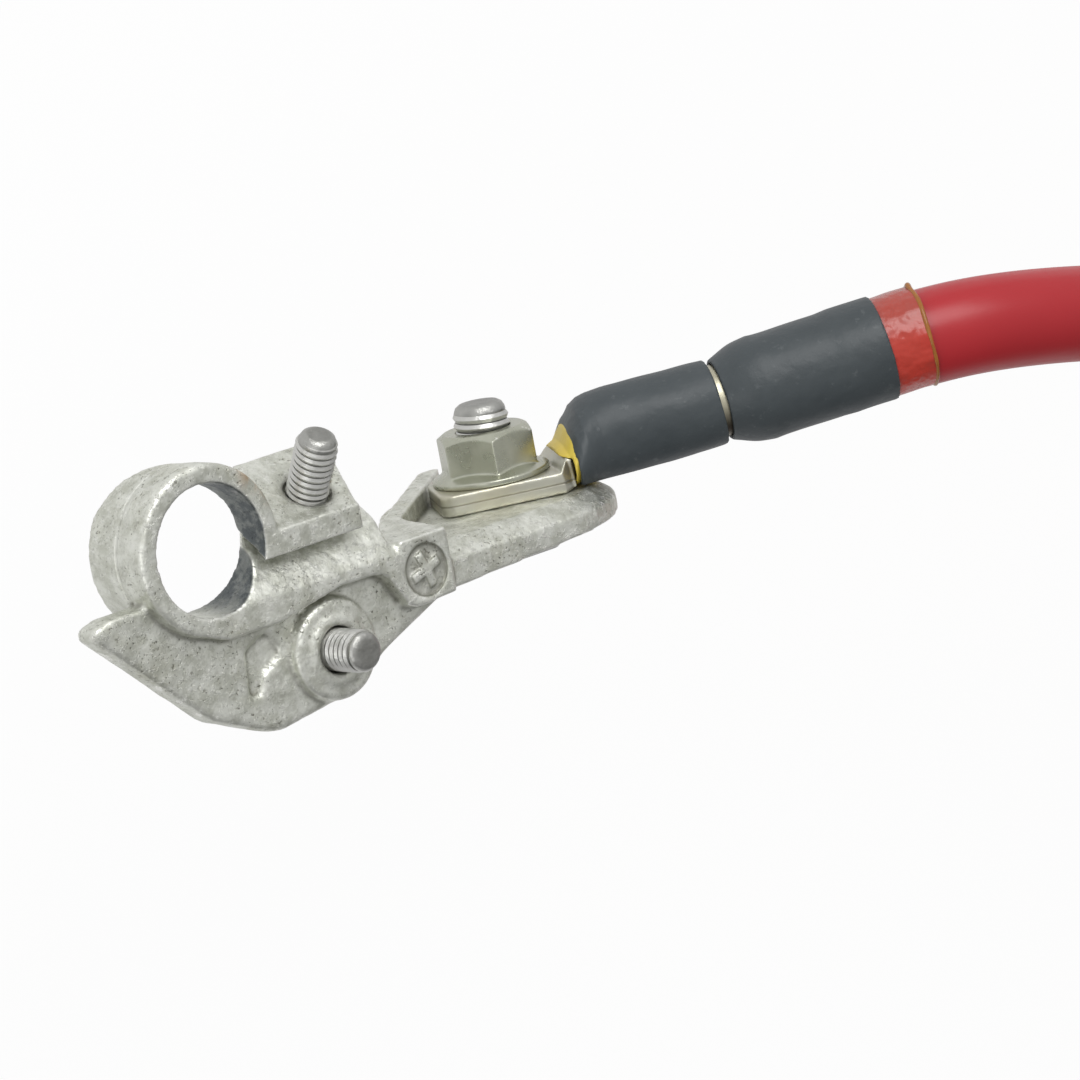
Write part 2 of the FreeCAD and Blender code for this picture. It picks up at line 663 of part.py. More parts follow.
def lug_form():
    """Outer form of the lug: flat tongue, and the crimped barrel bent up from it."""
    half = LUG_WIDTH / 2
    plan = [
        (-LUG_NOSE, half, LUG_FRONT_CORNER),
        (LUG_NECK + 1.5, half, 0),
        (LUG_NECK + 1.5, -half, 0),
        (-LUG_NOSE, -half, LUG_BACK_CORNER),
    ]
    tongue = along_lug(prism(plan, in_xz, PLATE_TOP_Y, LUG_TOP_Y))
    return tongue.fuse(along_crimp(crimp_form(0)).common(plate_room()))


def ring_lug():
    """Copper tube lug with its bolt hole and the socket for the strands."""
    socket = Part.makeCylinder(CONDUCTOR_RADIUS, REACH, vec(BARREL_END - BARE_CONDUCTOR, 0, 0), vec(1, 0, 0))
    hole = Part.makeCylinder(
        BOLT_RADIUS + BOLT_HOLE_CLEARANCE, REACH, vec(PLATE_CENTRE_X, -REACH / 2, PLATE_Z), vec(0, 1, 0)
    )
    return lug_form().cut(along_crimp(socket)).cut(hole).removeSplitter()


def conductor():
    """Bare strands inside the barrel."""
    start = vec(BARREL_END - BARE_CONDUCTOR, 0, 0)
    return along_crimp(Part.makeCylinder(CONDUCTOR_RADIUS, BARE_CONDUCTOR, start, vec(1, 0, 0)))


def between(start, end):
    """A block across the barrel's axis from one distance to another."""
    return Part.makeBox(end - start, REACH, REACH, vec(start, -REACH / 2, -REACH / 2))


def plate_room():
    """Block from the plate's top up, in which the sleeves lie."""
    return Part.makeBox(REACH * 3, REACH, REACH * 3, vec(-REACH, PLATE_TOP_Y, -REACH))


def yellow_liner():
    """Yellow inner tube that shows at the black sleeve's mouth."""
    shell = crimp_form(LINER_WALL).common(between(LINER_START, LINER_START + LINER_LENGTH))
    shell = along_crimp(shell).common(plate_room())
    return shell.cut(lug_form())


def front_sleeve():
    """Black shrink sleeve over the crimp."""
    span = between(SLEEVE_START, SLEEVE_START + SLEEVE_LENGTH)
    shell = along_crimp(crimp_form(LINER_WALL + SLEEVE_WALL).common(span)).common(plate_room())
    inside = crimp_form(LINER_WALL).common(between(LINER_START, LINER_START + LINER_LENGTH))
    return shell.cut(along_crimp(inside)).cut(lug_form())


def turned(points):
    """A solid turned about the barrel's axis from (x, radius) points, closed on the axis."""
    wire = [vec(points[0][0], 0, 0)] + [vec(x, r, 0) for x, r in points] + [vec(points[-1][0], 0, 0)]
    face = Part.Face(Part.makePolygon(wire + [wire[0]]))
    return face.revolve(vec(0, 0, 0), vec(1, 0, 0), 360)


def rear_sleeve():
    """Second black sleeve, from the barrel's end over the cable's jacket."""
    first = BARREL_RADIUS + SLEEVE_WALL
    last = CABLE_RADIUS + SEAL_WALL + SLEEVE_WALL * 0.7
    seal = REAR_SLEEVE_END - SEAL_SHOWN
    outer = [
        (REAR_SLEEVE_START, first),
        (BARREL_END, CABLE_RADIUS + SLEEVE_WALL),
        (seal - 2.0, CABLE_RADIUS + SLEEVE_WALL),
        (seal, last),
        (REAR_SLEEVE_END, last),
    ]
    inner = [
        (REAR_SLEEVE_START - 1, BARREL_RADIUS),
        (BARREL_END, BARREL_RADIUS),
        (BARREL_END, CABLE_RADIUS),
        (seal, CABLE_RADIUS),
        (seal, CABLE_RADIUS + SEAL_WALL),
        (REAR_SLEEVE_END + 1, CABLE_RADIUS + SEAL_WALL),
    ]
    return along_crimp(turned(outer).cut(turned(inner)))


def seal_sleeve():
    """Short red sleeve, stuck to the jacket and tucked under the black one."""
    start = REAR_SLEEVE_END - SEAL_SHOWN
    end = REAR_SLEEVE_END + SEAL_SHOWN
    outer = turned([(start, CABLE_RADIUS + SEAL_WALL), (end, CABLE_RADIUS + SEAL_WALL)])
    return along_crimp(outer.cut(turned([(start - 1, CABLE_RADIUS), (end + 1, CABLE_RADIUS)])))


# Cable and its far lug


def heading(turn, climb):
    """Unit direction turned from +X towards -Y and climbing towards +Z, both in degrees."""
    turn = math.radians(turn)
    climb = math.radians(climb)
    return vec(math.cos(climb) * math.cos(turn), -math.cos(climb) * math.sin(turn), math.sin(climb))


def cable_route():
    """Corners of the cable's centreline, from the crimp down to the far lug."""
    start = along_crimp(Part.Vertex(BARREL_END, 0, 0)).Point
    first = along_crimp(Part.Vertex(BARREL_END + FIRST_RUN, 0, 0)).Point
    points = [start, first]
    for turn, climb in ((4.0, 7.0), (18.0, -13.0), (36.0, -29.0), (57.0, -33.0), (76.0, -17.0), (89.0, -2.0)):
        points.append(points[-1] + heading(turn, climb) * NEXT_RUN)
    return points


def cable_path(points):
    """Straight runs joined by tangent arcs, each as large as its two runs allow."""
    edges = []
    radii = []
    last = points[0]
    for i in range(1, len(points) - 1):
        here = points[i]
        back = points[i - 1] - here
        ahead = points[i + 1] - here
        cut = 0.45 * min(back.Length, ahead.Length)
        turn = math.pi - back.getAngle(ahead)
        radius = cut / math.tan(turn / 2)
        radii.append(radius)
        back = back * (1 / back.Length)
        ahead = ahead * (1 / ahead.Length)
        start = here + back * cut
        end = here + ahead * cut
        bisector = back + ahead
        bisector = bisector * (1 / bisector.Length)
        middle = here + bisector * (radius / math.cos(turn / 2) - radius)
        edges.append(Part.LineSegment(last, start).toShape())
        edges.append(Part.Arc(start, middle, end).toShape())
        last = end
    edges.append(Part.LineSegment(last, points[-1]).toShape())
    return Part.Wire(edges), radii


def cable():
    """Round red cable, from the barrel's end to the far barrel."""
    points = cable_route()
    path, radii = cable_path(points)
    section = Part.Wire(Part.makeCircle(CABLE_RADIUS, points[0], points[1] - points[0]))
    tube = path.makePipeShell([section], True, False)
    print("cable bend radii", [round(r, 1) for r in radii])
    print("cable corners", [[round(c, 2) for c in p] for p in points])
    ratio = tube.Volume / (math.pi * CABLE_RADIUS ** 2 * path.Length)
    print("cable length", round(path.Length, 1), "volume over section times length", round(ratio, 4))
    return tube


def at_far_end(shape):
    """Puts a shape, drawn along +X from the origin with +Z up, on the end of the cable."""
    points = cable_route()
    along = (points[-1] - points[-2]).normalize()
    placed = shape.copy()
    placed.rotate(vec(0, 0, 0), vec(0, 1, 0), -math.degrees(math.asin(along.z)))
    placed.rotate(vec(0, 0, 0), vec(0, 0, 1), math.degrees(math.atan2(along.y, along.x)))
    placed.translate(points[-1])
    return placed


def far_conductor():
    """Bare strands inside the far barrel."""
    return at_far_end(Part.makeCylinder(CONDUCTOR_RADIUS, FAR_BARREL_LENGTH - 4, vec(0, 0, 0), vec(1, 0, 0)))


def far_lug():
    """Plain ring lug on the far end, lying flat."""
    barrel = Part.makeCylinder(BARREL_RADIUS, FAR_BARREL_LENGTH, vec(0, 0, 0), vec(1, 0, 0))
    socket = Part.makeCylinder(CONDUCTOR_RADIUS, FAR_BARREL_LENGTH - 4, vec(0, 0, 0), vec(1, 0, 0))
    low = -BARREL_RADIUS
    stations = [Part.Wire(Part.makeCircle(BARREL_RADIUS, vec(FAR_BARREL_LENGTH, 0, 0), vec(1, 0, 0)))]
    flat = Part.Ellipse(
        vec(FAR_BARREL_LENGTH + FAR_TAPER, FAR_TONGUE_WIDTH / 2, low + LUG_THICKNESS / 2),
        vec(FAR_BARREL_LENGTH + FAR_TAPER, 0, low + LUG_THICKNESS),
        vec(FAR_BARREL_LENGTH + FAR_TAPER, 0, low + LUG_THICKNESS / 2),
    )
    stations.append(Part.Wire(flat.toShape()))
    taper = Part.makeLoft(stations, True, True)
    half = FAR_TONGUE_WIDTH / 2
    end_x = FAR_BARREL_LENGTH + FAR_TAPER + FAR_TONGUE_LENGTH
    plan = [
        (FAR_BARREL_LENGTH + FAR_TAPER - 1, -half, 0),
        (end_x, -half, half - 0.01),
        (end_x, half, half - 0.01),
        (FAR_BARREL_LENGTH + FAR_TAPER - 1, half, 0),
    ]
    tongue = prism(plan, in_xy, low, low + LUG_THICKNESS)
    hole = Part.makeCylinder(FAR_HOLE_RADIUS, REACH, vec(end_x - half - 2, 0, -REACH / 2))
    lug = barrel.fuse(taper).fuse(tongue).cut(socket).cut(hole).removeSplitter()
    return at_far_end(lug)


def far_sleeve():
    """Black shrink sleeve over the far crimp and the jacket's end."""
    on_cable = FAR_SLEEVE_LENGTH - FAR_BARREL_LENGTH + 3
    outer_radius = CABLE_RADIUS + FAR_SLEEVE_WALL
    outer = Part.makeCylinder(outer_radius, FAR_SLEEVE_LENGTH, vec(-on_cable, 0, 0), vec(1, 0, 0))
    jacket = Part.makeCylinder(CABLE_RADIUS, on_cable, vec(-on_cable, 0, 0), vec(1, 0, 0))
    barrel = Part.makeCylinder(BARREL_RADIUS, FAR_BARREL_LENGTH, vec(0, 0, 0), vec(1, 0, 0))
    return at_far_end(outer.cut(jacket).cut(barrel))


NODES = {
    "clamp_body": clamp_body,
    "clamp_stud": clamp_stud,
    "side_stud": side_stud,
    "lug_bolt": lug_bolt,
    "flange_nut": flange_nut,
    "ring_lug": ring_lug,
    "conductor": conductor,
    "yellow_liner": yellow_liner,
    "front_sleeve": front_sleeve,
    "rear_sleeve": rear_sleeve,
    "seal_sleeve": seal_sleeve,
    "cable": cable,
    "far_conductor": far_conductor,
    "far_lug": far_lug,
    "far_sleeve": far_sleeve,
}

os.makedirs("parts", exist_ok=True)
for name, make in NODES.items():
    shape = make()
    shape.exportStep(f"parts/{name}.step")
    print(name, len(shape.Solids), "solids, volume", round(shape.Volume, 1), "valid", shape.isValid())
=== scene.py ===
import math

import bmesh
import bpy
from mathutils import Matrix, Vector, noise


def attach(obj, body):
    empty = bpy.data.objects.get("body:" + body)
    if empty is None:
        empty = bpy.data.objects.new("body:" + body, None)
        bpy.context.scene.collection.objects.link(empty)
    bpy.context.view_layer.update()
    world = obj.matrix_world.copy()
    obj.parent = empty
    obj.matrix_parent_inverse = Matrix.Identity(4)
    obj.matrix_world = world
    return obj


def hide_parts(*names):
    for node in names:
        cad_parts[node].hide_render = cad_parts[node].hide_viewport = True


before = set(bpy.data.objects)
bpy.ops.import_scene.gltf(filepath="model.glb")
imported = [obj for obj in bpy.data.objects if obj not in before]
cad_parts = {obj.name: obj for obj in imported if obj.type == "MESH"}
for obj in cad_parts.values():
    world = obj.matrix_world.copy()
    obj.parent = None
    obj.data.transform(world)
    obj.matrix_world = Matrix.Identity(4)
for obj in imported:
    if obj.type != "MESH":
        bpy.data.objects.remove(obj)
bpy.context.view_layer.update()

# Camera
# The photograph looks down on the ring's face from the left, with a long lens, and is turned so that
# the plate's upper side points up in the picture. The cable leaves at its right edge.
CAMERA_PLACE = Vector((-0.61459, 0.19686, 0.86055))
CAMERA_RIGHT = (0.74901, -0.18061, 0.63746)
CAMERA_UP = (0.26089, 0.96480, -0.03319)
CAMERA_BACK = (-0.60903, 0.19117, 0.76977)
CAMERA_LENS = 260.825

camera = bpy.data.objects.new("camera", bpy.data.cameras.new("camera"))
camera.data.lens = CAMERA_LENS
camera.data.sensor_width = 36.0
camera.data.clip_start = 0.01
turn = Matrix((CAMERA_RIGHT, CAMERA_UP, CAMERA_BACK)).transposed()
camera.matrix_world = Matrix.Translation(CAMERA_PLACE) @ turn.to_4x4()
bpy.context.scene.collection.objects.link(camera)
bpy.context.scene.camera = camera
bpy.context.scene.view_settings.view_transform = "Standard"


# Cable
# Round battery cable, 14 mm across, fine copper strands in a smooth red jacket. It leaves the crimp
# straight, then bends round and down to its far lug.
CABLE_RADIUS = 0.007
CABLE_ROUTE = [
    (0.09951, -0.00253, 0.01469),
    (0.11861, -0.00034, 0.02550),
    (0.13340, -0.00055, 0.03236),
    (0.15958, -0.00591, 0.03401),
    (0.19241, -0.01753, 0.02775),
    (0.21790, -0.03300, 0.01200),
    (0.23458, -0.05304, -0.00667),
    (0.24245, -0.08459, -0.01661),
    (0.24304, -0.11856, -0.01779),
]


class Value:
    """A shader socket that sums can be written with."""

    def __init__(self, finish, socket):
        self.finish = finish
        self.socket = socket

    def sum(self, operation, first, second):
        return self.finish.node("ShaderNodeMath", {0: first, 1: second}, operation=operation)

    def __add__(self, other):
        return self.sum("ADD", self, other)

    def __radd__(self, other):
        return self.sum("ADD", other, self)

    def __sub__(self, other):
        return self.sum("SUBTRACT", self, other)

    def __rsub__(self, other):
        return self.sum("SUBTRACT", other, self)

    def __mul__(self, other):
        return self.sum("MULTIPLY", self, other)

    def __rmul__(self, other):
        return self.sum("MULTIPLY", other, self)

    def __pow__(self, other):
        return self.sum("POWER", self, other)


class Finish:
    """A material with one Principled shader, and the nodes that feed it."""

    def __init__(self, name, metallic=0.0, roughness=0.5):
        self.material = bpy.data.materials.new(name)
        self.material.use_nodes = True
        self.tree = self.material.node_tree
        self.shader = self.tree.nodes["Principled BSDF"]
        self.shader.inputs["Metallic"].default_value = metallic
        self.shader.inputs["Roughness"].default_value = roughness
        self.place = self.node("ShaderNodeTexCoord", out="Object")

    def node(self, kind, inputs=None, out=0, **settings):
        made = self.tree.nodes.new(kind)
        for key, value in settings.items():
            setattr(made, key, value)
        for key, value in (inputs or {}).items():
            if isinstance(value, Value):
                self.tree.links.new(value.socket, made.inputs[key])
            else:
                made.inputs[key].default_value = value
        return Value(self, made.outputs[out])

    def feed(self, name, value):
        if isinstance(value, Value):
            self.tree.links.new(value.socket, self.shader.inputs[name])
        else:
            self.shader.inputs[name].default_value = value

    def larger(self, first, second):
        """The larger of two values."""
        return self.node("ShaderNodeMath", {0: first, 1: second}, operation="MAXIMUM")

    def size_of(self, value):
        """A value without its sign."""
        return self.node("ShaderNodeMath", {0: value}, operation="ABSOLUTE")

    def grain(self, scale, detail=3.0, rough=0.55):
        """Noise from 0 to 1 whose grains are about one part in scale of a metre."""
        fields = {"Vector": self.place, "Scale": scale, "Detail": detail, "Roughness": rough}
        return self.node("ShaderNodeTexNoise", fields)

    def step(self, value, low, high):
        """0 below low, 1 above high, and smooth between."""
        fields = {"Value": value, "From Min": low, "From Max": high}
        return self.node("ShaderNodeMapRange", fields, interpolation_type="SMOOTHSTEP")

    def mix(self, share, first, second):
        """First colour where share is 0, second where it is 1."""
        first = first if isinstance(first, Value) else (*first, 1.0)
        second = second if isinstance(second, Value) else (*second, 1.0)
        return self.node("ShaderNodeMix", {0: share, 6: first, 7: second}, out=2, data_type="RGBA")

    def bump(self, height, strength, distance):
        fields = {"Height": height, "Strength": strength, "Distance": distance}
        self.feed("Normal", self.node("ShaderNodeBump", fields))

    def near(self, point, radius):
        """1 at a point of the object, and 0 at that radius from it."""
        ends = {0: self.place, 1: point}
        away = self.node("ShaderNodeVectorMath", ends, out="Value", operation="DISTANCE")
        return self.step(away, radius, 0.0)


cable_finish = Finish("cable_red", roughness=0.33)
faint = cable_finish.grain(60.0)
cable_finish.feed("Base Color", cable_finish.mix(faint, (0.37, 0.009, 0.015), (0.44, 0.014, 0.021)))
cable_finish.feed("Roughness", 0.28 + 0.12 * cable_finish.grain(220.0))
cable_finish.bump(cable_finish.grain(160.0), 0.15, 0.0004)

curve = bpy.data.curves.new("cable_line", "CURVE")
curve.dimensions = "3D"
spline = curve.splines.new("NURBS")
spline.points.add(len(CABLE_ROUTE) - 1)
for point, place in zip(spline.points, CABLE_ROUTE):
    point.co = (*place, 1.0)
spline.order_u = 3
spline.use_endpoint_u = True
spline.resolution_u = 24
curve.bevel_depth = CABLE_RADIUS
curve.bevel_resolution = 10
curve.use_fill_caps = True
curve.materials.append(cable_finish.material)
red_cable = bpy.data.objects.new("red_cable", curve)
bpy.context.scene.collection.objects.link(red_cable)
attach(red_cable, "root")
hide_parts("cable")


# Clamp casting
# One tinned casting: ring, ear, rib, flange and plate in one piece.
# Sand-cast skin, dull grey, pitted, with a brown stain at the ear's root. Its edges are painted
# bright, partly as wear and partly as highlight, and painted shade darkens its creases, its bore, the
# mouths round its studs and its sunk mark.
CAST_VOXEL = 0.00034
STAIN_AT_EAR = (0.0092, 0.0084, 0.0118)
STAIN_ON_RING = (0.0114, 0.0052, 0.0112)
SIDE_STUD_MOUTH = (0.0185, -0.0192, 0.0124)
CLAMP_STUD_MOUTH = (0.0218, 0.0031, 0.0077)
BORE_WALL = (0.00955, 0.00925)
RING_FACE = (0.01145, 0.01165)
GROOVE_BELOW = (0.00610, 0.00635)
GROOVE_ABOVE = (0.00690, 0.00665)
MARK_X = 0.0357
MARK_Y = -0.0124
MARK_TURN = math.radians(20.0)
MARK_EDGE = (0.0039, 0.0036)
MARK_INNER_EDGE = (0.0032, 0.0036)
MARK_LEVEL = (0.0112, 0.0116)
ARM_SIDE = (0.00085, 0.00055)
ARM_END = (0.0029, 0.0025)


def loose_mesh(name, mesh, material, smooth=True):
    """An object at the origin from a finished mesh."""
    made = bpy.data.objects.new(name, mesh)
    bpy.context.scene.collection.objects.link(made)
    mesh.materials.clear()
    mesh.materials.append(material)
    mesh.polygons.foreach_set("use_smooth", [smooth] * len(mesh.polygons))
    return made


def evaluated_mesh(source):
    """The mesh of an object with its modifiers, as a plain mesh."""
    bpy.context.view_layer.update()
    ready = source.evaluated_get(bpy.context.evaluated_depsgraph_get())
    return bpy.data.meshes.new_from_object(ready)


def softened(node, name, material, voxel, rounds, lumps=0.0, lump_size=0.004, shape=None):
    """A copy of a CAD node with its edges worn round, and its skin a little uneven."""
    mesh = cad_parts[node].data.copy()
    shell = bmesh.new()
    shell.from_mesh(mesh)
    bmesh.ops.remove_doubles(shell, verts=shell.verts, dist=1e-6)
    shell.to_mesh(mesh)
    shell.free()
    rough = bpy.data.objects.new(name + "_rough", mesh)
    bpy.context.scene.collection.objects.link(rough)
    remesh = rough.modifiers.new("remesh", "REMESH")
    remesh.mode = "VOXEL"
    remesh.voxel_size = voxel
    smooth = rough.modifiers.new("smooth", "SMOOTH")
    smooth.factor = 0.5
    smooth.iterations = rounds
    worn = evaluated_mesh(rough)
    bpy.data.objects.remove(rough)
    if shape:
        for vertex in worn.vertices:
            vertex.co = shape(vertex.co)
        worn.update()
    if lumps:
        normals = [vertex.normal.copy() for vertex in worn.vertices]
        for vertex, normal in zip(worn.vertices, normals):
            vertex.co += normal * (lumps * noise.noise(vertex.co / lump_size))
    piece = loose_mesh(name, worn, material)
    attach(piece, "root")
    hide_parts(node)
    return piece


casting = Finish("casting", metallic=0.92)
mottle = casting.grain(380.0, 8.0, 0.70)
blotch = casting.grain(130.0, 5.0, 0.65)
speck = casting.step(casting.grain(1300.0, 4.0, 0.65), 0.57, 0.68) * casting.step(blotch, 0.43, 0.57)
pit = casting.step(casting.grain(2600.0, 1.0, 0.5), 0.66, 0.74) * casting.step(blotch, 0.42, 0.55)
scuff = casting.step(casting.grain(900.0, 6.0, 0.75), 0.53, 0.62)
# Edges: partly wear and partly a painted highlight.
edge_wear_and_highlight = casting.step(casting.node("ShaderNodeNewGeometry", out="Pointiness"), 0.512, 0.56)
# Creases: painted shade.
crease_shade = casting.step(casting.node("ShaderNodeNewGeometry", out="Pointiness"), 0.494, 0.455)
apart = casting.node("ShaderNodeSeparateXYZ", {0: casting.place}, out="X")
apart_y = Value(casting, apart.socket.node.outputs["Y"])
apart_z = Value(casting, apart.socket.node.outputs["Z"])
from_axis = (apart * apart + apart_y * apart_y) ** 0.5
skin = casting.mix(casting.step(mottle, 0.36, 0.64), (0.56, 0.57, 0.50), (0.78, 0.79, 0.73))
skin = casting.mix(casting.step(blotch, 0.52, 0.70) * 0.40, skin, (0.50, 0.50, 0.40))
skin = casting.mix(scuff * 0.35, skin, (0.92, 0.92, 0.88))
skin = casting.mix(speck * 0.55, skin, (0.15, 0.14, 0.10))
skin = casting.mix(pit * 0.55, skin, (0.09, 0.09, 0.07))
# Creases are painted dark as shade.
skin = casting.mix(crease_shade * 0.8, skin, (0.14, 0.135, 0.10))
# Edges are painted bright, partly as wear and partly as highlight.
skin = casting.mix(edge_wear_and_highlight * 0.8, skin, (0.95, 0.95, 0.90))
stain = casting.near(STAIN_AT_EAR, 0.0036)
stain = casting.larger(stain, casting.near(STAIN_ON_RING, 0.0030))
stain = stain * casting.step(mottle, 0.34, 0.56)
skin = casting.mix(stain * 0.9, skin, (0.40, 0.22, 0.055))
# The bore is painted dark as shade, a little unevenly.
in_bore = casting.step(from_axis, *BORE_WALL) * casting.step(apart, -0.002, 0.005)
bore_shade = in_bore * (0.8 + 0.2 * casting.step(casting.grain(300.0, 4.0, 0.7), 0.42, 0.55))
skin = casting.mix(bore_shade * 0.9, skin, (0.060, 0.075, 0.088))
# The mouths round the two studs are painted dark as shade, unevenly.
at_side_stud = casting.near(SIDE_STUD_MOUTH, 0.0043)
at_clamp_stud = casting.near(CLAMP_STUD_MOUTH, 0.0052)
stud_mouth_shade = casting.larger(at_side_stud, at_clamp_stud)
skin = casting.mix(casting.step(stud_mouth_shade, 0.05, 0.30) * (0.35 + 0.5 * mottle), skin, (0.10, 0.097, 0.080))
mark_x = apart - MARK_X
mark_y = apart_y - MARK_Y
along_arm = mark_x * math.cos(MARK_TURN) + mark_y * math.sin(MARK_TURN)
across_arm = mark_y * math.cos(MARK_TURN) - mark_x * math.sin(MARK_TURN)
from_arm = casting.size_of(across_arm)
from_other = casting.size_of(along_arm)
one_arm = casting.step(from_arm, *ARM_SIDE) * casting.step(from_other, *ARM_END)
other_arm = casting.step(from_other, *ARM_SIDE) * casting.step(from_arm, *ARM_END)
cross = casting.larger(one_arm, other_arm)
from_mark = (mark_x * mark_x + mark_y * mark_y) ** 0.5
on_top = casting.step(apart_z, *MARK_LEVEL)
sunk_mark = casting.step(from_mark, *MARK_EDGE) * (1 - cross) * on_top
# Painted shade: the sunk disc of the mark is painted dark, darkest towards its rim.
mark_rim_shade = casting.step(from_mark, *MARK_INNER_EDGE) * sunk_mark
skin = casting.mix(sunk_mark * (0.25 + 0.4 * mark_rim_shade), skin, (0.16, 0.155, 0.12))
casting.feed("Base Color", skin)
casting.feed("Roughness", 0.27 + 0.34 * mottle - 0.12 * edge_wear_and_highlight + 0.2 * speck - 0.08 * scuff)
groove = casting.step(apart_z, *GROOVE_BELOW) * casting.step(apart_z, *GROOVE_ABOVE)
groove = groove * casting.step(from_axis, *RING_FACE) * casting.step(apart, 0.004, 0.002)
height = 1.3 * casting.grain(420.0, 4.0, 0.55) + 0.25 * scuff - 0.4 * pit - 0.3 * speck
height = height - 0.7 * groove - 1.4 * sunk_mark
casting.bump(height, 0.65, 0.00034)
clamp = softened(
    "clamp_body",
    "clamp_casting",
    casting.material,
    voxel=CAST_VOXEL,
    rounds=9,
    lumps=0.00007,
    lump_size=0.0032,
)


# Studs and bolt
# Rolled steel: two M6 studs and the lug's M8 bolt. Each has a plain head below, square or hexagonal,
# and a rounded end.
STUD_STEPS = 64
M6 = {"radius": 0.0030, "pitch": 0.0010}
M8 = {"radius": 0.0040, "pitch": 0.00125}
CLAMP_STUD_TOP = (0.0218, 0.0106887, 0.0123753)
CLAMP_STUD_UP = (0.0, 0.848048, 0.529919)
CLAMP_STUD_LENGTH = 0.020253
SIDE_STUD_FOOT = (0.0185, -0.0192, 0.0061)
SIDE_STUD_LENGTH = 0.0123
LUG_BOLT_FOOT = (0.064, -0.015778, -0.0054)
LUG_BOLT_LENGTH = 0.019778


def thread_tree():
    """Winds a ridge round a shank: the thread is added to the shank that comes in."""
    tree = bpy.data.node_groups.new("thread", "GeometryNodeTree")
    face = tree.interface
    face.new_socket("Geometry", in_out="INPUT", socket_type="NodeSocketGeometry")
    for label in ("Radius", "Pitch", "Start", "Length"):
        face.new_socket(label, in_out="INPUT", socket_type="NodeSocketFloat")
    face.new_socket("Material", in_out="INPUT", socket_type="NodeSocketMaterial")
    face.new_socket("Geometry", in_out="OUTPUT", socket_type="NodeSocketGeometry")
    give = tree.nodes.new("NodeGroupInput")

    def add(kind, links, **settings):
        made = tree.nodes.new(kind)
        for key, value in settings.items():
            setattr(made, key, value)
        for key, value in links.items():
            if hasattr(value, "is_output"):
                tree.links.new(value, made.inputs[key])
            else:
                made.inputs[key].default_value = value
        return made

    def work(operation, first, second):
        return add("ShaderNodeMath", {0: first, 1: second}, operation=operation).outputs[0]

    middle = work("SUBTRACT", give.outputs["Radius"], work("MULTIPLY", give.outputs["Pitch"], 0.46))
    turns = work("DIVIDE", give.outputs["Length"], give.outputs["Pitch"])
    helix = add("GeometryNodeCurveSpiral", {
        "Resolution": 48,
        "Rotations": turns,
        "Start Radius": middle,
        "End Radius": middle,
        "Height": give.outputs["Length"],
    })
    upright = add("GeometryNodeSetCurveNormal", {"Curve": helix.outputs["Curve"]}, mode="Z_UP")
    along = add("GeometryNodeSplineParameter", {})
    both = work("MINIMUM", along.outputs["Factor"], work("SUBTRACT", 1.0, along.outputs["Factor"]))
    fade = work("MINIMUM", work("MULTIPLY", both, 14.0), 1.0)
    faded = add("GeometryNodeSetCurveRadius", {"Curve": upright.outputs["Curve"], "Radius": fade})
    ridge = add("GeometryNodeCurvePrimitiveCircle", {
        "Resolution": 6,
        "Radius": work("MULTIPLY", give.outputs["Pitch"], 0.50),
    })
    wound = add("GeometryNodeCurveToMesh", {
        "Curve": faded.outputs["Curve"],
        "Profile Curve": ridge.outputs["Curve"],
        "Fill Caps": True,
    })
    if "Scale" in wound.inputs:
        radius = add("GeometryNodeInputRadius", {})
        tree.links.new(radius.outputs[0], wound.inputs["Scale"])
    lift = add("ShaderNodeCombineXYZ", {"Z": give.outputs["Start"]})
    raised = add("GeometryNodeTransform", {
        "Geometry": wound.outputs["Mesh"],
        "Translation": lift.outputs[0],
    })
    joined = tree.nodes.new("GeometryNodeJoinGeometry")
    tree.links.new(give.outputs["Geometry"], joined.inputs[0])
    tree.links.new(raised.outputs["Geometry"], joined.inputs[0])
    real = add("GeometryNodeRealizeInstances", {"Geometry": joined.outputs[0]})
    painted = add("GeometryNodeSetMaterial", {
        "Geometry": real.outputs[0],
        "Material": give.outputs["Material"],
    })
    take = tree.nodes.new("NodeGroupOutput")
    tree.links.new(painted.outputs[0], take.inputs[0])
    return tree


def turned_mesh(name, points, steps=STUD_STEPS):
    """A mesh turned about Z from (radius, height) points, from the lower pole to the upper one."""
    shell = bmesh.new()
    rings = []
    for radius, height in points:
        if radius <= 0.0:
            rings.append([shell.verts.new((0.0, 0.0, height))])
            continue
        ring = []
        for i in range(steps):
            angle = 2 * math.pi * i / steps
            ring.append(shell.verts.new((radius * math.cos(angle), radius * math.sin(angle), height)))
        rings.append(ring)
    for lower, upper in zip(rings, rings[1:]):
        for i in range(steps):
            k = (i + 1) % steps
            if len(lower) == 1:
                shell.faces.new((lower[0], upper[k], upper[i]))
            elif len(upper) == 1:
                shell.faces.new((lower[i], lower[k], upper[0]))
            else:
                shell.faces.new((lower[i], lower[k], upper[k], upper[i]))
    mesh = bpy.data.meshes.new(name)
    shell.to_mesh(mesh)
    shell.free()
    return mesh


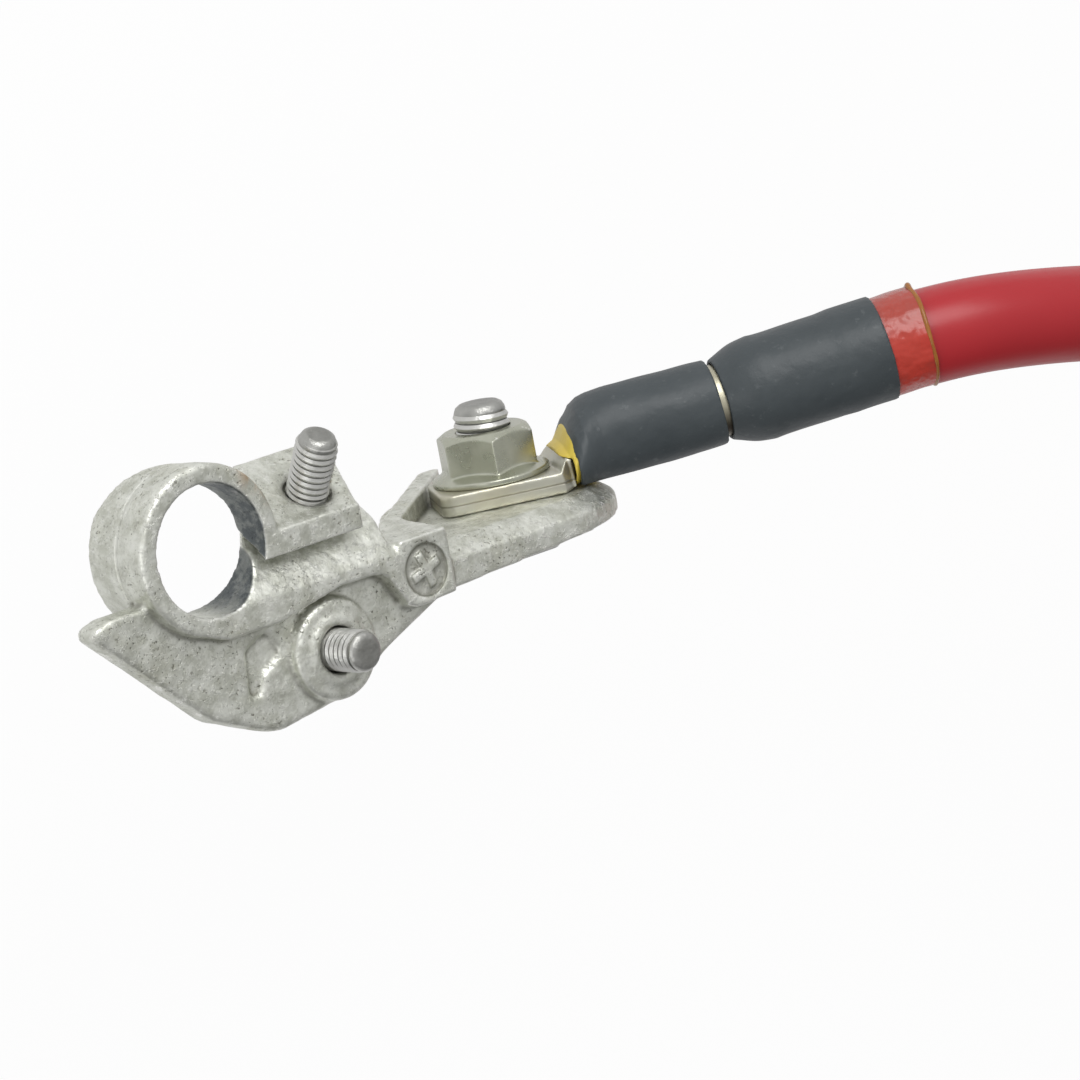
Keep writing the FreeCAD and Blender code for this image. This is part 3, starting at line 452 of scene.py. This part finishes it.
def head_mesh(mesh, sides, first_corner, width, depth, corner):
    """Adds a square or hexagonal head with rounded corners under the origin of a turned shank."""
    shell = bmesh.new()
    shell.from_mesh(mesh)
    half_side = math.pi / sides
    half_steps = 3
    reach = (width / 2 - corner) / math.cos(half_side)
    outline = []
    for side in range(sides):
        towards = math.radians(first_corner) + 2 * half_side * side
        for i in range(2 * half_steps + 1):
            angle = towards + half_side * (i / half_steps - 1)
            x = reach * math.cos(towards) + corner * math.cos(angle)
            y = reach * math.sin(towards) + corner * math.sin(angle)
            outline.append((x, y))
    below, above = 0.0006, 0.0004
    rings = []
    for inset, level in ((below, -depth), (0.0, -depth + below), (0.0, -above), (above, 0.0)):
        scale = 1 - 2 * inset / width
        rings.append([shell.verts.new((x * scale, y * scale, level)) for x, y in outline])
    count = len(outline)
    for lower, upper in zip(rings, rings[1:]):
        for i in range(count):
            k = (i + 1) % count
            shell.faces.new((lower[i], lower[k], upper[k], upper[i]))
    shell.faces.new(list(reversed(rings[0])))
    shell.faces.new(rings[-1])
    shell.to_mesh(mesh)
    shell.free()


thread_group = thread_tree()


def threaded(name, node, mesh, size, start, length, foot, up, material):
    """Winds the thread on a shank, puts it in place and lets it stand for the CAD stud."""
    plain = loose_mesh(name + "_plain", mesh, material)
    winding = plain.modifiers.new("thread", "NODES")
    winding.node_group = thread_group
    for item in thread_group.interface.items_tree:
        if item.in_out == "INPUT" and item.name != "Geometry":
            value = {
                "Radius": size["radius"],
                "Pitch": size["pitch"],
                "Start": start,
                "Length": length,
                "Material": material,
            }[item.name]
            winding[item.identifier] = value
    wound = evaluated_mesh(plain)
    bpy.data.objects.remove(plain)
    turn_up = Vector((0, 0, 1)).rotation_difference(Vector(up)).to_matrix().to_4x4()
    wound.transform(Matrix.Translation(Vector(foot)) @ turn_up)
    piece = loose_mesh(name, wound, material, smooth=False)
    piece.data.set_sharp_from_angle(angle=math.radians(50))
    piece.data.polygons.foreach_set("use_smooth", [True] * len(piece.data.polygons))
    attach(piece, "root")
    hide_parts(node)
    return piece


def shank_points(size, length, end_round):
    """Profile of a shank from just inside its head to its rounded end."""
    core = size["radius"] - 0.62 * size["pitch"]
    return [
        (0.0, -0.0005),
        (core, -0.0005),
        (core, length - 2.2 * end_round),
        (size["radius"] - 0.00025, length - 1.4 * end_round),
        (size["radius"] - 0.00030, length - end_round),
        (size["radius"] - 0.00060, length - 0.40 * end_round),
        (size["radius"] - 0.00115, length - 0.06 * end_round),
        (size["radius"] - 0.00140, length - 0.02 * end_round),
        (size["radius"] * 0.35, length - 0.02 * end_round),
        (0.0, length - 0.04 * end_round),
    ]


steel = Finish("stud_steel", metallic=0.9)
# Edges and thread crests are painted bright, partly as wear and partly as highlight.
worn = steel.step(steel.node("ShaderNodeNewGeometry", out="Pointiness"), 0.50, 0.60)
grime = steel.grain(500.0, 4.0)
dull = steel.mix(grime, (0.15, 0.15, 0.135), (0.42, 0.42, 0.40))
# Thread roots and other crevices are painted dark as shade.
crevice_shade = steel.step(steel.node("ShaderNodeNewGeometry", out="Pointiness"), 0.49, 0.42)
dull = steel.mix(crevice_shade * 0.8, dull, (0.07, 0.068, 0.06))
# Bright edges and crests: partly wear, partly painted highlight.
steel.feed("Base Color", steel.mix(worn * 0.7, dull, (0.80, 0.80, 0.77)))
steel.feed("Roughness", 0.24 + 0.25 * grime)
steel.bump(steel.grain(900.0, 4.0, 0.6), 0.6, 0.00030)

clamp_shank = turned_mesh("clamp_shank", shank_points(M6, CLAMP_STUD_LENGTH, end_round=0.0011))
head_mesh(clamp_shank, sides=4, first_corner=45, width=0.0096, depth=0.0030, corner=0.0010)
clamp_foot = Vector(CLAMP_STUD_TOP) - Vector(CLAMP_STUD_UP) * CLAMP_STUD_LENGTH
clamp_stud = threaded(
    "clamp_stud_threaded",
    "clamp_stud",
    clamp_shank,
    M6,
    start=0.008863,
    length=0.0106,
    foot=clamp_foot,
    up=CLAMP_STUD_UP,
    material=steel.material,
)

side_shank = turned_mesh("side_shank", shank_points(M6, SIDE_STUD_LENGTH, end_round=0.0006))
head_mesh(side_shank, sides=6, first_corner=0, width=0.0100, depth=0.0032, corner=0.0005)
side_stud = threaded(
    "side_stud_threaded",
    "side_stud",
    side_shank,
    M6,
    start=0.0020,
    length=0.0098,
    foot=SIDE_STUD_FOOT,
    up=(0, 0, 1),
    material=steel.material,
)

zinc = Finish("zinc_steel", metallic=0.95, roughness=0.24)
cloud = zinc.grain(260.0, 3.0)
zinc_skin = zinc.mix(cloud, (0.33, 0.34, 0.26), (0.62, 0.63, 0.54))
# The nut's edges are painted bright as highlight.
edge_highlight = zinc.step(zinc.node("ShaderNodeNewGeometry", out="Pointiness"), 0.52, 0.60)
zinc.feed("Base Color", zinc.mix(edge_highlight * 0.5, zinc_skin, (0.88, 0.88, 0.84)))
zinc.feed("Roughness", 0.20 + 0.16 * cloud)

bolt_shank = turned_mesh("bolt_shank", shank_points(M8, LUG_BOLT_LENGTH, end_round=0.0011))
head_mesh(bolt_shank, sides=4, first_corner=45, width=0.0130, depth=0.0028, corner=0.0020)
lug_bolt = threaded(
    "lug_bolt_threaded",
    "lug_bolt",
    bolt_shank,
    M8,
    start=0.009878,
    length=0.0088,
    foot=LUG_BOLT_FOOT,
    up=(0, 1, 0),
    material=steel.material,
)


# Flange nut
# Zinc-plated steel hexagon nut with a pressed flange, clean and bright. It holds the lug's tongue down
# on the plate.
nut = softened("flange_nut", "nut_plated", zinc.material, voxel=0.00016, rounds=3)


# Cable lug
# Copper tube pressed flat at one end, punched and tinned. It is bent up behind the nut, and its barrel
# is crimped on the strands.
HEAT_MARK = (0.0625, -0.0078, 0.0105)
GAP_TOP = (0.0923, -0.0069, 0.0149)
SEAM_BELOW = (-0.00885, -0.00862)
SEAM_ABOVE = (-0.00835, -0.00858)
tinned = Finish("lug_metal", metallic=0.85)
film = tinned.grain(180.0, 4.0)
warm = tinned.step(tinned.grain(70.0, 2.0), 0.45, 0.65)
tin_skin = tinned.mix(film, (0.38, 0.375, 0.31), (0.68, 0.67, 0.58))
tin_skin = tinned.mix(warm * 0.35, tin_skin, (0.60, 0.52, 0.30))
heat = tinned.near(HEAT_MARK, 0.0065) * tinned.step(film, 0.30, 0.55)
tin_skin = tinned.mix(heat * 0.8, tin_skin, (0.62, 0.47, 0.16))
# The barrel in the gap between the sleeves is painted near-black as shade.
gap_shade = tinned.near(GAP_TOP, 0.0050)
tin_skin = tinned.mix(gap_shade * 0.95, tin_skin, (0.035, 0.022, 0.014))
level = tinned.node("ShaderNodeSeparateXYZ", {0: tinned.place}, out="Y")
seam = tinned.step(level, *SEAM_BELOW) * tinned.step(level, *SEAM_ABOVE)
tin_skin = tinned.mix(seam * 0.6, tin_skin, (0.12, 0.10, 0.06))
tinned.feed("Base Color", tin_skin)
tinned.feed("Roughness", 0.24 + 0.24 * film)
tinned.bump(tinned.grain(350.0, 3.0) - 0.7 * seam, 0.3, 0.0003)
CRIMP_FOOT = Vector((0.064, -0.0066, -0.0054))
CRIMP_WAY = Vector((0.86606, 0.09932, 0.48999))
CRIMP_UP = Vector((-0.08644, 0.99506, -0.04891))
CRIMP_SIDE = Vector((-0.49242, 0.0, 0.87036))
NECK_TOP = [(0.0094, -0.0013), (0.0128, 0.0005), (0.0161, 0.0038), (0.0190, 0.0053), (0.0600, 0.0053)]
NECK_LIFT = [
    (0.0106, 0.0018),
    (0.0118, 0.0029),
    (0.0133, 0.0034),
    (0.0148, 0.0028),
    (0.0161, 0.0019),
    (0.0190, 0.0008),
    (0.0250, 0.0005),
    (0.0335, 0.0),
]
NECK_END = 0.0335
NECK_BELOW = 0.0052
NECK_START_RUN = 0.0014
NECK_MOST = 1.15
WAIST_END = 0.0150
WAIST_RUN = 0.003
BACK_END = 0.0160
BACK_RUN = 0.0050


def along(table, place):
    """Value of a table of (place, value) rows, with straight runs between the rows."""
    if place <= table[0][0]:
        return table[0][1]
    for (low, first), (high, second) in zip(table, table[1:]):
        if place <= high:
            return first + (second - first) * (place - low) / (high - low)
    return table[-1][1]


def full_neck(start, waist=0.0, back=0.0):
    """Raises the top of what is on the crimp, so that the neck climbs steeply behind the tongue.

    The waist narrows what is there, or widens it where it is below 0, and back draws a front end back.
    """
    def raised(point):
        away = point - CRIMP_FOOT
        place = away.dot(CRIMP_WAY)
        if place < start or place > NECK_END:
            return point
        level = away.dot(CRIMP_UP)
        share = (level + NECK_BELOW) / (along(NECK_TOP, place) + NECK_BELOW)
        share = min(NECK_MOST, max(0.0, share))
        begin = min(1.0, (place - start) / NECK_START_RUN)
        aside = away.dot(CRIMP_SIDE)
        narrow = waist * begin * max(0.0, min(1.0, (WAIST_END - place) / WAIST_RUN))
        behind = back * max(0.0, min(1.0, (BACK_END - place) / BACK_RUN))
        moved = CRIMP_UP * (along(NECK_LIFT, place) * share * begin)
        return point + moved - CRIMP_SIDE * (aside * narrow) + CRIMP_WAY * behind
    return raised


lug = softened(
    "ring_lug",
    "lug_tinned",
    tinned.material,
    voxel=0.00028,
    rounds=14,
    shape=full_neck(start=0.0086, waist=0.16),
)
far_lug = softened("far_lug", "far_lug_tinned", tinned.material, voxel=0.00032, rounds=5)


# Strands
# Fine bare copper wires, crimped solid in both barrels. Nothing of them shows, so their CAD solids
# only get the colour of copper.
copper = Finish("strands", metallic=1.0, roughness=0.4)
copper.feed("Base Color", (0.60, 0.30, 0.17, 1.0))
for strand_node in ("conductor", "far_conductor"):
    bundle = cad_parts[strand_node]
    bundle.data.materials.clear()
    bundle.data.materials.append(copper.material)


# Inner tube and shrink sleeves
# A yellow tube under the first sleeve shows at the tongue. Two black sleeves of matt plastic are
# shrunk over the crimp and the jacket's end, with bare tinned barrel in the gap between them. A third
# one covers the crimp of the far lug.
SHOULDER_PLACE = 0.0382
SHOULDER_SPREAD = 0.0026
SHOULDER_RISE = 0.00045
yellow = Finish("liner", roughness=0.42)
aged = yellow.grain(500.0, 3.0)
yellow.feed("Base Color", yellow.mix(aged, (0.62, 0.44, 0.035), (0.72, 0.58, 0.10)))
yellow.bump(yellow.grain(600.0), 0.3, 0.0003)
liner = softened(
    "yellow_liner",
    "inner_tube",
    yellow.material,
    voxel=0.00017,
    rounds=2,
    shape=full_neck(start=0.0, waist=-0.07),
)

shrink = Finish("sleeve_black", roughness=0.5)
dust = shrink.grain(140.0, 5.0, 0.6)
rubbed = shrink.step(shrink.grain(650.0, 4.0, 0.7), 0.58, 0.75)
shrink_skin = shrink.mix(dust, (0.030, 0.039, 0.044), (0.058, 0.070, 0.076))
shrink.feed("Base Color", shrink.mix(rubbed * 0.35, shrink_skin, (0.15, 0.165, 0.17)))
shrink.feed("Roughness", 0.34 + 0.22 * dust)
shrink.bump(shrink.grain(150.0, 2.0) + 0.25 * shrink.grain(700.0, 3.0), 0.35, 0.0010)
front_sleeve = softened(
    "front_sleeve",
    "sleeve_front",
    shrink.material,
    voxel=0.00024,
    rounds=5,
    lumps=0.00018,
    lump_size=0.006,
    shape=full_neck(start=0.0, waist=-0.05, back=0.0006),
)


def full_shoulder(point):
    """Rounds the shoulder where the sleeve widens from the barrel to the jacket."""
    away = point - CRIMP_FOOT
    place = away.dot(CRIMP_WAY)
    out = (away - CRIMP_WAY * place).normalized()
    return point + out * (SHOULDER_RISE * math.exp(-((place - SHOULDER_PLACE) / SHOULDER_SPREAD) ** 2))


rear_sleeve = softened(
    "rear_sleeve",
    "sleeve_rear",
    shrink.material,
    voxel=0.00024,
    rounds=5,
    lumps=0.00015,
    lump_size=0.007,
    shape=full_shoulder,
)
far_sleeve = softened(
    "far_sleeve",
    "sleeve_far",
    shrink.material,
    voxel=0.00030,
    rounds=4,
    lumps=0.00012,
    lump_size=0.008,
)


# Seal
# Short sleeve of clear red plastic, shrunk on the jacket with glue inside. The glue has run out as an
# amber bead at its end.
seal = Finish("seal_red", roughness=0.26)
thick = seal.step(seal.grain(120.0, 2.0), 0.35, 0.65)
# Painted light: the upper side, where the light falls, is painted browner and duller than the lower
# side.
upper = seal.step(seal.node("ShaderNodeSeparateXYZ", {0: seal.place}, out="Y"), 0.0000, 0.0045)
seal_skin = seal.mix(upper, (0.52, 0.028, 0.014), (0.33, 0.055, 0.040))
seal.feed("Base Color", seal.mix(thick * 0.5, seal_skin, (0.42, 0.035, 0.018)))
seal.feed("Coat Weight", 0.3)
seal.bump(seal.grain(300.0, 2.0), 0.8, 0.0010)
seal_sleeve = softened(
    "seal_sleeve",
    "seal_clear_red",
    seal.material,
    voxel=0.00016,
    rounds=2,
    lumps=0.00010,
    lump_size=0.004,
)

amber = Finish("seal_glue", roughness=0.12)
amber.feed("Base Color", amber.mix(amber.grain(300.0), (0.22, 0.075, 0.010), (0.42, 0.16, 0.02)))
LEAD_START = Vector(CABLE_ROUTE[0])
LEAD_WAY = (Vector(CABLE_ROUTE[1]) - LEAD_START).normalized()
GLUE_FROM_BARREL = 0.0247
GLUE_RADIUS = 0.00732
GLUE_THICKNESS = 0.00032


def glue_bead():
    """A thin uneven ring of glue round the jacket, with one larger drop on top."""
    shell = bmesh.new()
    steps, around = 96, 10
    rings = []
    for i in range(steps):
        angle = 2 * math.pi * i / steps
        drop = math.exp(-((angle - math.pi / 2) / 0.14) ** 2)
        out = Vector((math.cos(angle), math.sin(angle), 0))
        thick_here = GLUE_THICKNESS * (1 + 0.5 * noise.noise(out * 2.5))
        thick_here += 0.00012 * drop
        shift = 0.0006 * noise.noise((out + Vector((0, 0, 4.0))) * 1.2)
        ring = []
        for k in range(around):
            turn_k = 2 * math.pi * k / around
            reach = GLUE_RADIUS + thick_here * (math.cos(turn_k) - 0.2 + 0.7 * drop)
            level = shift + thick_here * math.sin(turn_k)
            ring.append(shell.verts.new(out * reach + Vector((0, 0, level))))
        rings.append(ring)
    for i in range(steps):
        lower, upper = rings[i], rings[(i + 1) % steps]
        for k in range(around):
            m = (k + 1) % around
            shell.faces.new((lower[k], upper[k], upper[m], lower[m]))
    bmesh.ops.recalc_face_normals(shell, faces=shell.faces)
    mesh = bpy.data.meshes.new("glue_bead")
    shell.to_mesh(mesh)
    shell.free()
    side = LEAD_WAY.cross(Vector((0, 1, 0))).normalized()
    upward = side.cross(LEAD_WAY).normalized()
    across = upward.cross(LEAD_WAY).normalized()
    axes = Matrix((across, upward, LEAD_WAY)).transposed().to_4x4()
    mesh.transform(Matrix.Translation(LEAD_START + LEAD_WAY * GLUE_FROM_BARREL) @ axes)
    return mesh


glue = loose_mesh("glue_bead", glue_bead(), amber.material)
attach(glue, "root")


# Studio
# Plain pale floor well below the part and two large soft lamps. The surroundings look white to the
# camera, and light the part more from the plate's upper side than from below.
FLOOR_LEVEL = -0.062
FLOOR_HALF = 4
SKY_WAY = (-0.10, 0.86, 0.50)
floor_mesh = bpy.data.meshes.new("floor")
corners = [
    (-FLOOR_HALF, -FLOOR_HALF, FLOOR_LEVEL),
    (FLOOR_HALF, -FLOOR_HALF, FLOOR_LEVEL),
    (FLOOR_HALF, FLOOR_HALF, FLOOR_LEVEL),
    (-FLOOR_HALF, FLOOR_HALF, FLOOR_LEVEL),
]
floor_mesh.from_pydata(corners, [], [(0, 1, 2, 3)])
floor_finish = bpy.data.materials.new("floor_paper")
floor_finish.use_nodes = True
paper_nodes = floor_finish.node_tree.nodes
paper_links = floor_finish.node_tree.links
paper_nodes.clear()
ray = paper_nodes.new("ShaderNodeLightPath")
share = paper_nodes.new("ShaderNodeMath")
share.operation = "MULTIPLY"
share.inputs[1].default_value = 0.94
paper_links.new(ray.outputs["Is Camera Ray"], share.inputs[0])
paper = paper_nodes.new("ShaderNodeBsdfDiffuse")
paper.inputs["Color"].default_value = (0.86, 0.86, 0.86, 1)
white = paper_nodes.new("ShaderNodeEmission")
white.inputs["Color"].default_value = (1, 1, 1, 1)
blend = paper_nodes.new("ShaderNodeMixShader")
paper_links.new(share.outputs[0], blend.inputs[0])
paper_links.new(paper.outputs[0], blend.inputs[1])
paper_links.new(white.outputs[0], blend.inputs[2])
paper_out = paper_nodes.new("ShaderNodeOutputMaterial")
paper_links.new(blend.outputs[0], paper_out.inputs[0])
floor_mesh.materials.append(floor_finish)
floor = bpy.data.objects.new("floor", floor_mesh)
bpy.context.scene.collection.objects.link(floor)

world = bpy.data.worlds.new("surroundings")
bpy.context.scene.world = world
world.use_nodes = True
world_nodes = world.node_tree.nodes
world_links = world.node_tree.links
world_back = world_nodes["Background"]
world_back.inputs["Color"].default_value = (1, 1, 1, 1)
world_ray = world_nodes.new("ShaderNodeLightPath")
world_way = world_nodes.new("ShaderNodeTexCoord")
world_up = world_nodes.new("ShaderNodeVectorMath")
world_up.operation = "DOT_PRODUCT"
world_up.inputs[1].default_value = SKY_WAY
world_links.new(world_way.outputs["Generated"], world_up.inputs[0])
world_light = world_nodes.new("ShaderNodeMapRange")
world_light.inputs["From Min"].default_value = -0.6
world_light.inputs["From Max"].default_value = 0.8
world_light.inputs["To Min"].default_value = 0.22
world_light.inputs["To Max"].default_value = 0.80
world_links.new(world_up.outputs["Value"], world_light.inputs["Value"])
world_strength = world_nodes.new("ShaderNodeMix")
world_strength.data_type = "FLOAT"
world_links.new(world_ray.outputs["Is Camera Ray"], world_strength.inputs[0])
world_links.new(world_light.outputs["Result"], world_strength.inputs[2])
world_strength.inputs[3].default_value = 1.0
world_links.new(world_strength.outputs[0], world_back.inputs["Strength"])

middle = Vector((0.07, -0.005, 0.0))
for label, way, away, width, power in (
    ("key_lamp", (-0.15, 0.85, 0.75), 0.9, 0.55, 3.4),
    ("side_lamp", (-0.9, -0.1, 0.35), 0.9, 0.5, 1.2),
):
    lamp_data = bpy.data.lights.new(label, "AREA")
    lamp_data.size = width
    lamp_data.energy = power
    lamp = bpy.data.objects.new(label, lamp_data)
    way = Vector(way).normalized()
    facing = way.to_track_quat("Z", "Y").to_matrix().to_4x4()
    lamp.matrix_world = Matrix.Translation(middle + way * away) @ facing
    bpy.context.scene.collection.objects.link(lamp)
